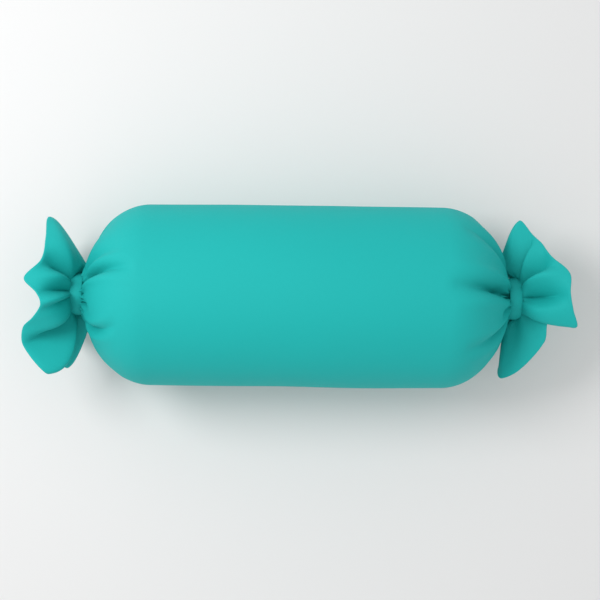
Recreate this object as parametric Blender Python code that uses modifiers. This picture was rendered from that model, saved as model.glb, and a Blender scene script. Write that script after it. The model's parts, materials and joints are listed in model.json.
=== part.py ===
"""Wrapped-sweet bolster pillow: a zipped cloth cover, gathered at both ends, over a stuffed insert.

The pillow lies along X on the plane z = 0, and its own weight presses its underside flat.
Angles round it are measured from straight up (+Z) towards the back (+Y).
"""

from math import acos, atan2, cos, hypot, pi, radians, sin, sqrt

import bmesh
import bpy
from mathutils import Vector

# Driving dimensions, in metres.
BODY_RADIUS = 0.076
NECK_TO_NECK = 0.358  # between the inner edges of the two neck bands
DOME_LENGTH = 0.056  # how far each rounded end reaches past the straight part
PRESSED_DEPTH = 0.005  # how far the underside is pressed in
COVER_CLOTH = 0.001
TICKING_CLOTH = 0.0006
GAP = 0.0003  # between pieces that touch
CROWN = 0.0004  # how far a soft strip's middle stands above its edges
BAND_WIDTH = 0.010
BAND_CLOTH = 0.0008
NECK_RADIUS = 0.012  # the cover's bunched cloth under the band
NECK_HOLE_RADIUS = 0.003
ELASTIC_RADIUS = 0.0011
INSERT_SLACK = 0.001  # room between the cover and the insert where the pillow rests
FILL_SLACK = 0.0014  # between the ticking and the stuffing
INSERT_SHORT = 0.008  # room between each end of the insert and the cover's gathers
ZIP_ANGLE = radians(135)
ZIP_LENGTH = 0.220
SLOT_LENGTH = 0.228
SLOT_WIDTH = 0.009
TAPE_LENGTH = 0.232
TAPE_WIDTH = 0.012
TAPE_CLOTH = 0.0005
COIL_RADIUS = 0.00095
COIL_OFFSET = 0.0017  # from the zip's middle line to each coil
STOP_LENGTH = 0.0022
SLIDER_LENGTH = 0.009
SLIDER_PLATE = 0.0009
SLIDER_MARGIN = 0.001  # between the shut slider and the end of the coils
LOOP_HEIGHT = 0.0028
LOOP_WIRE = (0.0009, 0.0016)  # the loop's thickness, and its width across the slider
LOOP_SPAN = 0.0042  # between the loop's two legs
PULL_LENGTH = 0.014
PULL_WIDTH = 0.0052
PULL_PLATE = 0.0009
PULL_WINDOW = (0.0042, 0.0028)  # length and width of the hole that the loop passes through
LABEL_LENGTH = 0.024
LABEL_DROP = 0.015
LABEL_CLOTH = 0.0004
LABEL_X = -0.078
FRILL_BEND = (0.006, 0.026)  # reach and radius that each fold is drawn towards as it leaves the band

# Where each fold of a frill ends: angle in degrees, then its reach past the band and its radius.
LEFT_FOLDS = (
    (-160, 0.026, 0.060),
    (-135, 0.002, 0.065),
    (-113, 0.012, 0.066),
    (-90, 0.021, 0.066),
    (-50, 0.041, 0.050),
    (-8, 0.019, 0.063),
    (17, 0.035, 0.053),
    (36, 0.019, 0.063),
    (72, 0.027, 0.061),
    (94, 0.022, 0.065),
    (114, 0.006, 0.066),
    (138, 0.028, 0.058),
    (163, 0.008, 0.066),
    (182, 0.022, 0.063),
)
RIGHT_FOLDS = (
    (-158, 0.020, 0.062),
    (-128, -0.014, 0.064),
    (-92, -0.012, 0.067),
    (-62, 0.010, 0.061),
    (-34, 0.042, 0.046),
    (-2, 0.034, 0.053),
    (22, 0.037, 0.053),
    (46, 0.013, 0.062),
    (88, 0.001, 0.065),
    (112, -0.008, 0.066),
    (136, 0.022, 0.061),
    (160, 0.000, 0.066),
    (181, 0.018, 0.063),
)

# How finely the round pieces are cut into flat faces.
BODY_STEPS = 40
BAND_STEPS = 32
FRILL_STEPS = 60
DOME_RINGS = 6
INSERT_DOME_RINGS = 5
FRILL_RINGS = 5

# Worked out from the driving dimensions.
AXIS_HEIGHT = BODY_RADIUS - PRESSED_DEPTH
HALF_STRAIGHT = NECK_TO_NECK / 2 - DOME_LENGTH
NECK_X = NECK_TO_NECK / 2
BAND_INNER_X = NECK_X + GAP
BAND_OUTER_X = BAND_INNER_X + BAND_WIDTH
FRILL_NECK_RADIUS = NECK_RADIUS + GAP + COVER_CLOTH / 2
ELASTIC_RING_RADIUS = FRILL_NECK_RADIUS + COVER_CLOTH / 2 + GAP + ELASTIC_RADIUS
BAND_RADIUS = ELASTIC_RING_RADIUS + ELASTIC_RADIUS + GAP + BAND_CLOTH + CROWN
TAPE_RADIUS = BODY_RADIUS - COVER_CLOTH - 2 * GAP  # outer face of the tapes, under the cover
COIL_HEIGHT = TAPE_RADIUS + GAP + COIL_RADIUS
SLIDER_X = ZIP_LENGTH / 2 - SLIDER_LENGTH / 2 - SLIDER_MARGIN
SLIDER_FLOOR = TAPE_RADIUS - TAPE_CLOTH - GAP  # outer face of the plate behind the tapes
SLIDER_CEILING = COIL_HEIGHT + COIL_RADIUS + GAP  # inner face of the plate over the coils
SLIDER_TOP = SLIDER_CEILING + SLIDER_PLATE
SLIDER_HALF_WIDTH = SLOT_WIDTH / 2 - 2 * GAP
LOOP_TOP = SLIDER_TOP + LOOP_HEIGHT
PULL_AXIS_HEIGHT = SLIDER_TOP + GAP + PULL_PLATE / sqrt(2)
INSERT_RADIUS = TAPE_RADIUS - TAPE_CLOTH - GAP
INSERT_DOME_LENGTH = DOME_LENGTH - INSERT_SHORT
INSERT_ZIP_FLAT = SLIDER_FLOOR - SLIDER_PLATE - GAP  # the zip presses the insert in this far from the axis
INSERT_REST_FLAT = AXIS_HEIGHT - COVER_CLOTH - INSERT_SLACK

DOWN = Vector((0, 0, -1))
ZIP_OUT = Vector((0, sin(ZIP_ANGLE), cos(ZIP_ANGLE)))
AXIS_CENTRE = Vector((0, 0, AXIS_HEIGHT))


def clear_scene():
    for obj in list(bpy.data.objects):
        bpy.data.objects.remove(obj)


def new_collection(name):
    collection = bpy.data.collections.new(name)
    bpy.context.scene.collection.children.link(collection)
    return collection


def make_material(name, colour, roughness, metallic=0.0):
    material = bpy.data.materials.new(name)
    material.use_nodes = True
    shader = material.node_tree.nodes["Principled BSDF"]
    shader.inputs["Base Color"].default_value = (*colour, 1)
    shader.inputs["Roughness"].default_value = roughness
    shader.inputs["Metallic"].default_value = metallic
    return material


clear_scene()
PARTS = new_collection("bolster_pillow")
CUTTERS = new_collection("cutters")
MATERIALS = {
    "cover": make_material("teal_cloth", (0.03, 0.48, 0.45), 0.85),
    "ticking": make_material("white_ticking", (0.86, 0.85, 0.82), 0.9),
    "fibre": make_material("white_fibre", (0.93, 0.93, 0.92), 1.0),
    "elastic": make_material("white_elastic", (0.82, 0.82, 0.8), 0.7),
    "tape": make_material("zip_tape", (0.03, 0.42, 0.4), 0.8),
    "nylon": make_material("zip_nylon", (0.04, 0.5, 0.47), 0.35),
    "metal": make_material("zip_metal", (0.72, 0.72, 0.7), 0.3, 1.0),
    "label": make_material("label_cloth", (0.9, 0.9, 0.88), 0.8),
}


def move_to(collection, obj):
    for other in list(obj.users_collection):
        other.objects.unlink(obj)
    collection.objects.link(obj)


def finish_piece(obj, material, parent=None):
    """Gives a piece its material, its collection and its parent."""
    obj.data.materials.clear()
    obj.data.materials.append(MATERIALS[material])
    obj.parent = parent
    move_to(PARTS, obj)


def make_cutter(obj, parent):
    """Keeps a shape that is cut from a piece, or joined to it, out of the finished object."""
    obj.parent = parent
    obj.hide_render = True
    obj.display_type = "WIRE"
    move_to(CUTTERS, obj)
    return obj


def shade_round(obj, sharpest=radians(35)):
    obj.data.shade_smooth()
    obj.data.set_sharp_from_angle(angle=sharpest)


def turned(name, profile, steps=BODY_STEPS, sweep=2 * pi):
    """An open surface, facing outwards: (x, radius) points turned about the X axis, from straight up."""
    mesh = bpy.data.meshes.new(name)
    edges = [(i, i + 1) for i in range(len(profile) - 1)]
    mesh.from_pydata([(x, 0, radius) for x, radius in profile], edges, [])
    obj = bpy.data.objects.new(name, mesh)
    PARTS.objects.link(obj)
    screw = obj.modifiers.new("turn", "SCREW")
    screw.axis = "X"
    screw.angle = sweep
    screw.steps = screw.render_steps = steps
    screw.use_merge_vertices = sweep == 2 * pi
    screw.merge_threshold = 0.00001
    graph = bpy.context.evaluated_depsgraph_get()
    obj.data = bpy.data.meshes.new_from_object(obj.evaluated_get(graph))
    obj.modifiers.clear()
    face_outwards(obj.data)
    return obj


def face_outwards(mesh):
    away = 0.0
    for polygon in mesh.polygons:
        x, y, z = polygon.center
        away += polygon.normal.dot(Vector((0, y, z))) * polygon.area
    if away < 0:
        mesh.flip_normals()


def centre_strip(strip, across, radius):
    """Turns a partly swept strip about X, so that its middle lies a distance across from straight out."""
    angles = [atan2(vertex.co.y, vertex.co.z) for vertex in strip.data.vertices]
    turn = across / radius - (min(angles) + max(angles)) / 2
    for vertex in strip.data.vertices:
        x, y, z = vertex.co
        vertex.co = (x, y * cos(turn) + z * sin(turn), z * cos(turn) - y * sin(turn))


def press_flat(obj, direction, distance):
    """Moves what lies further than distance from the axis, in one direction, back to that plane."""
    for vertex in obj.data.vertices:
        beyond = vertex.co.dot(direction) - distance
        if beyond > 0:
            vertex.co -= direction * beyond


def close_holes(mesh):
    shape = bmesh.new()
    shape.from_mesh(mesh)
    bmesh.ops.holes_fill(shape, edges=[edge for edge in shape.edges if edge.is_boundary])
    bmesh.ops.recalc_face_normals(shape, faces=shape.faces)
    shape.to_mesh(mesh)
    shape.free()


def thicken(obj, thickness, offset=-1.0):
    cloth = obj.modifiers.new("cloth", "SOLIDIFY")
    cloth.thickness = thickness
    cloth.offset = offset
    cloth.use_even_offset = True


def combine(piece, other, operation):
    boolean = piece.modifiers.new(operation.lower(), "BOOLEAN")
    boolean.operation = operation
    boolean.object = other


def make_box(name, low, high, at=(0, 0, 0)):
    """A box between two corners, measured from a place that becomes its origin."""
    low, high = Vector(low), Vector(high)
    shape = bmesh.new()
    bmesh.ops.create_cube(shape, size=1)
    bmesh.ops.scale(shape, vec=high - low, verts=shape.verts)
    bmesh.ops.translate(shape, vec=(low + high) / 2, verts=shape.verts)
    mesh = bpy.data.meshes.new(name)
    shape.to_mesh(mesh)
    shape.free()
    obj = bpy.data.objects.new(name, mesh)
    obj.location = at
    PARTS.objects.link(obj)
    return obj


def dome_profile(radius, length, end_radius, rings, start=HALF_STRAIGHT):
    """A rounded end as (x, radius) points, from the rim of the straight part to end_radius."""
    last = acos(end_radius / radius)
    turns = [last * i / rings for i in range(rings + 1)]
    return [(start + length * sin(turn), radius * cos(turn)) for turn in turns]


def mirrored(profile):
    """A profile that starts at x = 0, with its mirror image before it."""
    return [(-x, radius) for x, radius in reversed(profile[1:])] + profile


def make_zip_frame():
    """An empty on the pillow's axis, turned so that its +Z points out through the zip and +Y downhill."""
    frame = bpy.data.objects.new("zip_frame", None)
    frame.location = AXIS_CENTRE
    frame.rotation_euler = (-ZIP_ANGLE, 0, 0)
    PARTS.objects.link(frame)
    return frame


def make_cover_body(zip_frame):
    """The cover's tube: straight wall, rounded ends, and the bunched cloth that fills each neck."""
    fold = 0.0005  # half the rounding where the cloth turns a corner
    profile = [(0, BODY_RADIUS)]
    profile += dome_profile(BODY_RADIUS, DOME_LENGTH, BODY_RADIUS / 4, DOME_RINGS)
    profile += [
        (NECK_X - fold, NECK_RADIUS + 2 * fold),
        (NECK_X + fold, NECK_RADIUS),
        (BAND_OUTER_X - 2 * fold, NECK_RADIUS),
        (BAND_OUTER_X - fold, NECK_HOLE_RADIUS),
    ]
    cover = turned("cover_body", mirrored(profile))
    press_flat(cover, DOWN, AXIS_HEIGHT)
    cover.location = AXIS_CENTRE
    thicken(cover, COVER_CLOTH)
    reach = 0.006  # of the cutter, on each side of the cloth
    slot = make_box(
        "slot_cutter",
        (-SLOT_LENGTH / 2, -SLOT_WIDTH / 2, BODY_RADIUS - reach),
        (SLOT_LENGTH / 2, SLOT_WIDTH / 2, BODY_RADIUS + reach),
    )
    combine(cover, make_cutter(slot, zip_frame), "DIFFERENCE")
    shade_round(cover)
    finish_piece(cover, "cover")


def hem_at(angle, folds):
    """(reach, radius) of a frill's hem at an angle in degrees, easing from each fold to the next."""
    first, last = folds[0], folds[-1]
    stations = [(last[0] - 360, *last[1:]), *folds, (first[0] + 360, *first[1:])]
    for (angle_a, reach_a, radius_a), (angle_b, reach_b, radius_b) in zip(stations, stations[1:]):
        if angle_a <= angle < angle_b:
            share = (1 - cos(pi * (angle - angle_a) / (angle_b - angle_a))) / 2
            return reach_a + (reach_b - reach_a) * share, radius_a + (radius_b - radius_a) * share
    raise ValueError("this angle lies outside the folds")


def frill_point(share, angle, folds):
    """(reach, radius) of a frill's cloth, a share of the way from the band (0) to its hem (1)."""
    hem_reach, hem_radius = hem_at(angle, folds)
    start, middle, end = (1 - share) ** 2, 2 * share * (1 - share), share**2
    reach = middle * FRILL_BEND[0] + end * hem_reach
    radius = start * FRILL_NECK_RADIUS + middle * FRILL_BEND[1] + end * hem_radius
    return reach, radius


def make_frill(name, side, folds):
    """A flared, folded cuff: a turned tube whose rings are moved out to the folds. Side is -1 or 1."""
    sleeve = -1.0  # stands for the ring at the inner end of the part under the band
    rings = [sleeve] + [i / FRILL_RINGS for i in range(FRILL_RINGS + 1)]
    frill = turned(name, [(share, 1.0) for share in rings], steps=FRILL_STEPS)
    for vertex in frill.data.vertices:
        share, y, z = vertex.co
        angle = atan2(y, z) * 180 / pi
        reach, radius = -BAND_WIDTH + GAP, FRILL_NECK_RADIUS
        if share > sleeve:
            reach, radius = frill_point(share, angle, folds)
        vertex.co = (side * (BAND_OUTER_X + reach), y * radius, z * radius)
    face_outwards(frill.data)
    frill.location = AXIS_CENTRE
    thicken(frill, COVER_CLOTH, offset=0.0)
    shade_round(frill, radians(60))
    finish_piece(frill, "cover")


def make_neck_band(name, side):
    """The flat cloth band round the neck, crowned a little across its width."""
    shoulder = BAND_WIDTH / 5
    profile = [
        (side * BAND_INNER_X, BAND_RADIUS - CROWN),
        (side * (BAND_INNER_X + shoulder), BAND_RADIUS),
        (side * (BAND_OUTER_X - shoulder), BAND_RADIUS),
        (side * BAND_OUTER_X, BAND_RADIUS - CROWN),
    ]
    band = turned(name, profile, steps=BAND_STEPS)
    band.location = AXIS_CENTRE
    thicken(band, BAND_CLOTH)
    shade_round(band)
    finish_piece(band, "cover")


def make_gather_elastic(name, side):
    """The elastic cord that holds the gathers, under the band."""
    bpy.ops.mesh.primitive_torus_add(
        major_radius=ELASTIC_RING_RADIUS,
        minor_radius=ELASTIC_RADIUS,
        major_segments=BAND_STEPS,
        minor_segments=8,
        location=(side * (BAND_INNER_X + BAND_WIDTH / 2), 0, AXIS_HEIGHT),
        rotation=(0, pi / 2, 0),
    )
    elastic = bpy.context.object
    elastic.name = name
    shade_round(elastic)
    finish_piece(elastic, "elastic")


def press_insert(obj, inset=0.0):
    """The insert gives where it rests and where the zip lies on it."""
    press_flat(obj, DOWN, INSERT_REST_FLAT - inset)
    press_flat(obj, ZIP_OUT, INSERT_ZIP_FLAT - inset)


def make_insert_tube():
    """The insert's straight ticking wall."""
    tube = turned("insert_tube", [(-HALF_STRAIGHT, INSERT_RADIUS), (HALF_STRAIGHT, INSERT_RADIUS)])
    press_insert(tube)
    tube.location = AXIS_CENTRE
    thicken(tube, TICKING_CLOTH)
    shade_round(tube)
    finish_piece(tube, "ticking")


def insert_dome(inset=0.0, start=HALF_STRAIGHT):
    radius, length = INSERT_RADIUS - inset, INSERT_DOME_LENGTH - inset
    return dome_profile(radius, length, radius / 20, INSERT_DOME_RINGS, start)


def make_insert_end(name, side):
    """A round end panel of the insert, which the stuffing pushes out into a dome."""
    profile = [(side * x, radius) for x, radius in insert_dome(start=HALF_STRAIGHT + GAP)]
    end = turned(name, profile)
    shape = bmesh.new()
    shape.from_mesh(end.data)
    middle_hole = [e for e in shape.edges if e.is_boundary and hypot(*e.verts[0].co.yz) < INSERT_RADIUS / 2]
    bmesh.ops.edgeloop_fill(shape, edges=middle_hole)
    bmesh.ops.recalc_face_normals(shape, faces=shape.faces)
    shape.to_mesh(end.data)
    shape.free()
    face_outwards(end.data)
    press_insert(end)
    end.location = AXIS_CENTRE
    thicken(end, TICKING_CLOTH)
    shade_round(end)
    finish_piece(end, "ticking")


def make_fibre_fill():
    """The stuffing, a little smaller than the ticking round it."""
    inset = TICKING_CLOTH + FILL_SLACK
    fill = turned("fibre_fill", mirrored([(0, INSERT_RADIUS - inset)] + insert_dome(inset)))
    close_holes(fill.data)
    press_insert(fill, inset)
    fill.location = AXIS_CENTRE
    shade_round(fill)
    finish_piece(fill, "fibre")


def make_curved_strip(name, x, length, across, width, radius, thickness):
    """A strip of cloth bent round the pillow: its outer face at a radius, its middle across from the zip."""
    profile = [(x - length / 2, radius), (x + length / 2, radius)]
    strip = turned(name, profile, steps=3, sweep=width / radius)
    centre_strip(strip, across, radius)
    thicken(strip, thickness)
    shade_round(strip)
    return strip


def make_zip_tape(name, side, zip_frame):
    across = side * (COIL_OFFSET / 2 + TAPE_WIDTH / 2)
    tape = make_curved_strip(name, 0, TAPE_LENGTH, across, TAPE_WIDTH, TAPE_RADIUS, TAPE_CLOTH)
    finish_piece(tape, "tape", zip_frame)


def make_zip_coil(name, side, zip_frame):
    """One plain bead for the teeth along a tape's edge."""
    bpy.ops.mesh.primitive_cylinder_add(
        vertices=10,
        radius=COIL_RADIUS,
        depth=ZIP_LENGTH,
        location=(0, side * COIL_OFFSET, COIL_HEIGHT),
        rotation=(0, pi / 2, 0),
    )
    coil = bpy.context.object
    coil.name = name
    shade_round(coil)
    finish_piece(coil, "nylon", zip_frame)


def make_zip_stop(name, end, half_width, across, zip_frame):
    """A clip past the end of the coils, at end -1 or 1 of the zip."""
    half_height = COIL_RADIUS + GAP / 3
    near = ZIP_LENGTH / 2 + GAP
    x_low, x_high = sorted((end * near, end * (near + STOP_LENGTH)))
    stop = make_box(
        name,
        (x_low, across - half_width, COIL_HEIGHT - half_height),
        (x_high, across + half_width, COIL_HEIGHT + half_height),
    )
    rounded = stop.modifiers.new("rounded", "BEVEL")
    rounded.width = GAP
    rounded.segments = 2
    finish_piece(stop, "metal", zip_frame)


def slider_shapes():
    """The slider's boxes, besides its top plate: (name, low corner, high corner), in its own place."""
    half_length = SLIDER_LENGTH / 2
    sunk = 0.0002  # how far a joined box reaches into the plate it stands on
    flange = 0.0009
    wire, wire_width = LOOP_WIRE
    floor = SLIDER_FLOOR - SLIDER_PLATE
    floor_half_width = SLIDER_HALF_WIDTH - flange
    yield "floor", (-half_length, -floor_half_width, floor), (half_length, floor_half_width, SLIDER_FLOOR)
    post_half_width = COIL_OFFSET - COIL_RADIUS - GAP
    post = (half_length - 3 * flange, half_length - sunk)
    yield "post", (post[0], -post_half_width, floor + sunk), (post[1], post_half_width, SLIDER_TOP - sunk)
    leg_half_width = wire_width / 2
    bar_reach = LOOP_SPAN / 2 + wire
    for side in (-1, 1):
        y_low, y_high = sorted((side * (SLIDER_HALF_WIDTH - flange), side * SLIDER_HALF_WIDTH))
        low = (-half_length + sunk, y_low, TAPE_RADIUS + 2 * GAP)
        yield f"flange_{side}", low, (half_length - sunk, y_high, SLIDER_TOP - sunk)
        x_low, x_high = sorted((side * LOOP_SPAN / 2, side * bar_reach))
        yield f"leg_{side}", (x_low, -leg_half_width, SLIDER_TOP - sunk), (x_high, leg_half_width, LOOP_TOP)
    yield "bar", (-bar_reach, -leg_half_width, LOOP_TOP - wire), (bar_reach, leg_half_width, LOOP_TOP)


def make_zip_slider(zip_frame):
    """Two plates, over the coils and behind the tapes, with a post between the coils and a loop on top."""
    at = (SLIDER_X, 0, 0)
    half_length = SLIDER_LENGTH / 2
    low = (-half_length, -SLIDER_HALF_WIDTH, SLIDER_CEILING)
    slider = make_box("zip_slider", low, (half_length, SLIDER_HALF_WIDTH, SLIDER_TOP), at)
    finish_piece(slider, "metal", zip_frame)
    for name, low, high in slider_shapes():
        shape = make_cutter(make_box(f"slider_{name}", low, high, at), zip_frame)
        combine(slider, shape, "UNION")


def make_zip_pull(zip_frame):
    """A flat pull that hangs straight out from the slider's loop, with its origin on its hinge."""
    bar = PULL_PLATE / 2
    half_width = PULL_WIDTH / 2
    window_length, window_width = PULL_WINDOW
    tip = PULL_LENGTH - half_width
    turns = [pi * i / 8 for i in range(9)]
    outline = [(-bar, -half_width), (-bar, half_width)]
    outline += [(tip + half_width * sin(turn), half_width * cos(turn)) for turn in turns]
    window = [
        (bar, -window_width / 2),
        (bar + window_length, -window_width / 2),
        (bar + window_length, window_width / 2),
        (bar, window_width / 2),
    ]
    curve = bpy.data.curves.new("zip_pull", "CURVE")
    curve.dimensions = "2D"
    curve.fill_mode = "BOTH"
    curve.extrude = PULL_PLATE / 2
    for points in (outline, window):
        spline = curve.splines.new("POLY")
        spline.points.add(len(points) - 1)
        for point, (along, across) in zip(spline.points, points):
            point.co = (along, across, 0, 1)
        spline.use_cyclic_u = True
    pull = bpy.data.objects.new("zip_pull", curve)
    pull.location = (SLIDER_X, 0, PULL_AXIS_HEIGHT)
    pull.rotation_euler = (0, -pi / 2, 0)
    PARTS.objects.link(pull)
    finish_piece(pull, "metal", zip_frame)


def make_care_label(zip_frame):
    """A blank woven label that comes out of the seam below the zip and lies on the cover."""
    across = SLOT_WIDTH / 2 + 2 * GAP + LABEL_DROP / 2
    radius = BODY_RADIUS + GAP + LABEL_CLOTH
    label = make_curved_strip("care_label", LABEL_X, LABEL_LENGTH, across, LABEL_DROP, radius, LABEL_CLOTH)
    finish_piece(label, "label", zip_frame)


def main():
    zip_frame = make_zip_frame()
    make_cover_body(zip_frame)
    for name, side, folds in (("left", -1, LEFT_FOLDS), ("right", 1, RIGHT_FOLDS)):
        make_frill(f"{name}_frill", side, folds)
        make_neck_band(f"{name}_neck_band", side)
        make_gather_elastic(f"{name}_gather_elastic", side)
        make_insert_end(f"{name}_insert_end", side)
    make_insert_tube()
    make_fibre_fill()
    for name, side in (("upper", -1), ("lower", 1)):
        make_zip_tape(f"zip_tape_{name}", side, zip_frame)
        make_zip_coil(f"zip_coil_{name}", side, zip_frame)
        make_zip_stop(f"zip_top_stop_{name}", 1, COIL_RADIUS, side * COIL_OFFSET, zip_frame)
    make_zip_stop("zip_bottom_stop", -1, COIL_OFFSET + COIL_RADIUS, 0, zip_frame)
    make_zip_slider(zip_frame)
    make_zip_pull(zip_frame)
    make_care_label(zip_frame)


main()
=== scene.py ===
import json
from math import cos, pi, radians, sin

import bmesh
import bpy
import numpy as np
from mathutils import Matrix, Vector, noise


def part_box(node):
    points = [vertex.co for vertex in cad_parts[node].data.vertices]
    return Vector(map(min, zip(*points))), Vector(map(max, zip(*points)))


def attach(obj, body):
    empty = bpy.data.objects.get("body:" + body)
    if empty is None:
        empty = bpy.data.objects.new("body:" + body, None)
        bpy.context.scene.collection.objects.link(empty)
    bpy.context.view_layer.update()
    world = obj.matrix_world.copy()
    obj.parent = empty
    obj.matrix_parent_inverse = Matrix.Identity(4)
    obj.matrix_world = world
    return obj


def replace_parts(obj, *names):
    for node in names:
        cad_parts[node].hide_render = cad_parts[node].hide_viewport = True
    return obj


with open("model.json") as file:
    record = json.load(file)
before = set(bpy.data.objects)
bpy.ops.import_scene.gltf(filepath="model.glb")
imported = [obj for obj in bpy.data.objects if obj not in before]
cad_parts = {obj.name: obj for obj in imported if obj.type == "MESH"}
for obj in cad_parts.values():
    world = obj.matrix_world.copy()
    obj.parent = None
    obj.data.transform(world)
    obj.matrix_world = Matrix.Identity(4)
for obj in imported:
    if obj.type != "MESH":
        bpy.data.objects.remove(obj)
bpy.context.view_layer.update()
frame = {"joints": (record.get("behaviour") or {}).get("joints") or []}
scene = bpy.context.scene


def boxOf(node):
    low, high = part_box(node)
    return np.array(low), np.array(high)


# where things are, taken from the CAD pieces
coverHigh = boxOf("cover_body")[1]
bandLow, bandHigh = boxOf("right_neck_band")
sliderLow, sliderHigh = boxOf("zip_slider")
coilLow, coilHigh = boxOf("zip_coil_upper")
pullJoint = next(joint for joint in frame["joints"] if joint["name"] == "pull_hinge")
bodyRadius = coverHigh[1]
axisHeight = coverHigh[2] - bodyRadius
bandInner, bandOuter = bandLow[0], bandHigh[0]
bandRadius = bandHigh[1]
zipAngle = radians(135)  # from straight up towards +Y
outward = np.array((0.0, sin(zipAngle), cos(zipAngle)))  # out of the pillow at the zip
downhill = np.array((0.0, cos(zipAngle), -sin(zipAngle)))  # across the zip, away from the top
tapeRadius = 0.0744  # outer face of the zip's tapes, from the pillow's axis
coilHeight = 0.07565  # middle of the coil, from the pillow's axis
print("frame: body radius", round(float(bodyRadius), 4), "axis height", round(float(axisHeight), 4))


# a socket that can be reckoned with: each sum on it adds the node that does it
class Strand:
    def __init__(self, tree, socket):
        self.tree = tree
        self.socket = socket

    def make(self, kind, settings=None, sockets=None, out=0):  # any node; returns a strand from one output
        node = self.tree.nodes.new(kind)
        for key, value in (settings or {}).items():
            if key == "stops":
                ramp = node.color_ramp
                while len(ramp.elements) < len(value):
                    ramp.elements.new(0.5)
                for stop, (place, colour) in zip(ramp.elements, value):
                    stop.position = place
                    stop.color = colour
            else:
                setattr(node, key, value)
        for key, value in (sockets or {}).items():
            target = node.inputs[key]
            if isinstance(value, Strand):
                self.tree.links.new(value.socket, target)
            else:
                target.default_value = value
        return Strand(self.tree, node.outputs[out])

    def maths(self, operation, *values, clamp=False):
        settings = {"operation": operation, "use_clamp": clamp}
        return self.make("ShaderNodeMath", settings, dict(enumerate(values)))

    def __add__(self, other):
        return self.maths("ADD", self, other)

    def __sub__(self, other):
        return self.maths("SUBTRACT", self, other)

    def __rsub__(self, other):
        return self.maths("SUBTRACT", other, self)

    def __mul__(self, other):
        return self.maths("MULTIPLY", self, other)

    def __truediv__(self, other):
        return self.maths("DIVIDE", self, other)

    __radd__ = __add__
    __rmul__ = __mul__

    def wave(self):
        return self.maths("SINE", self)

    def limit(self):
        return self.maths("ADD", self, 0.0, clamp=True)

    def part(self, axis):
        return self.make("ShaderNodeSeparateXYZ", None, {0: self}, out=axis)

    def dot(self, axis):  # how far along a direction a place is
        return self.make("ShaderNodeVectorMath", {"operation": "DOT_PRODUCT"}, {0: self, 1: axis}, out=1)

    def noise(self, scale, detail=2.0, rough=0.5):
        sockets = {"Vector": self, "Scale": scale, "Detail": detail, "Roughness": rough}
        return self.make("ShaderNodeTexNoise", None, sockets, out="Fac")

    def blend(self, colourA, colourB):
        sockets = {"Factor": self, 6: colourA, 7: colourB}
        return self.make("ShaderNodeMix", {"data_type": "RGBA"}, sockets, out=2)


def shaded(colour, amount):
    return (*[min(1.0, part * amount) for part in colour], 1.0)


def toned(strand, look):  # from a look's deep tone to its light one
    return strand.blend(shaded(look["colour"], look["deep"]), shaded(look["colour"], look["light"]))


def newMaterial(name, **constants):
    material = bpy.data.materials.new(name)
    material.use_nodes = True
    tree = material.node_tree
    shader = tree.nodes["Principled BSDF"]
    for key, value in constants.items():
        shader.inputs[key.replace("_", " ")].default_value = value
    return material, shader, Strand(tree, None)


def connect(shader, links):
    for key, strand in links.items():
        strand.tree.links.new(strand.socket, shader.inputs[key])


def bumped(height, strength, distance):
    sockets = {"Height": height, "Strength": strength, "Distance": distance}
    return height.make("ShaderNodeBump", None, sockets)


def scaled(vector, scale):
    return vector.make("ShaderNodeVectorMath", {"operation": "MULTIPLY"}, {0: vector, 1: scale})


def ownPlace(start):
    return start.make("ShaderNodeTexCoord", out="Object")


# a plain weave in the cloth's own flat coordinates, in metres
def weave(start, pitch):
    flat = start.make("ShaderNodeUVMap", {"uv_map": "cloth"})
    across, along = flat.part(0), flat.part(1)
    wobble = flat.noise(160.0, 3.0) * 0.9
    warp = (across * (2 * pi / pitch) + wobble).wave()
    weft = (along * (2 * pi / pitch) + wobble).wave()
    return flat, warp * weft * 0.5 + 0.5


tealCloth = {
    "colour": (0.0075, 0.468, 0.447),
    "specular": 0.28,
    "deep": 0.86,
    "light": 1.05,
    "pitch": 0.00052,
    "roughness": 0.74,
    "bump": 0.35,
    "slubStretch": (240.0, 2600.0, 1.0),
}
whiteTicking = {
    "colour": (0.86, 0.85, 0.82),
    "specular": 0.38,
    "deep": 0.90,
    "light": 1.04,
    "pitch": 0.00044,
    "roughness": 0.80,
    "bump": 0.30,
    "slubStretch": (240.0, 2600.0, 1.0),
}


# woven cloth: threads over and under, thicker slubs along the weft, a slight cloudiness
def makeCloth(name, look):
    material, shader, start = newMaterial(name, Specular_IOR_Level=look["specular"])
    flat, threads = weave(start, look["pitch"])
    sockets = {"Vector": scaled(flat, look["slubStretch"]), "Scale": 1.0, "Detail": 2.0}
    slub = flat.make("ShaderNodeTexNoise", {"noise_dimensions": "2D"}, sockets, out="Fac")
    cloudy = flat.noise(22.0, 3.0)
    colour = toned(threads * 0.55 + slub * 0.45, look)
    tone = (cloudy * 0.6 + 0.2).limit()
    wash = tone.blend((0.955, 0.97, 0.97, 1), (1.03, 1.01, 1.01, 1))
    settings = {"data_type": "RGBA", "blend_type": "MULTIPLY"}
    washed = tone.make("ShaderNodeMix", settings, {"Factor": 1.0, 6: colour, 7: wash}, out=2)
    links = {
        "Base Color": washed,
        "Roughness": look["roughness"] - 0.08 * threads + 0.06 * cloudy,
        "Normal": bumped(threads * 0.8 + slub * 0.35, look["bump"], 0.00022),
    }
    connect(shader, links)
    return material


# polyester fibre: soft white, with fine crossing strands
def makeFibre(look):
    material, shader, start = newMaterial("whiteFibre", Specular_IOR_Level=look["specular"])
    place = ownPlace(start)
    strands = place.noise(900.0, 6.0, 0.75)
    clumps = place.noise(90.0, 3.0)
    links = {
        "Base Color": toned((strands * 0.7 + clumps * 0.3).limit(), look),
        "Roughness": 0.95 - 0.1 * strands,
        "Normal": bumped(strands * 0.8 + clumps, 0.7, 0.0012),
    }
    connect(shader, links)
    return material


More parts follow.
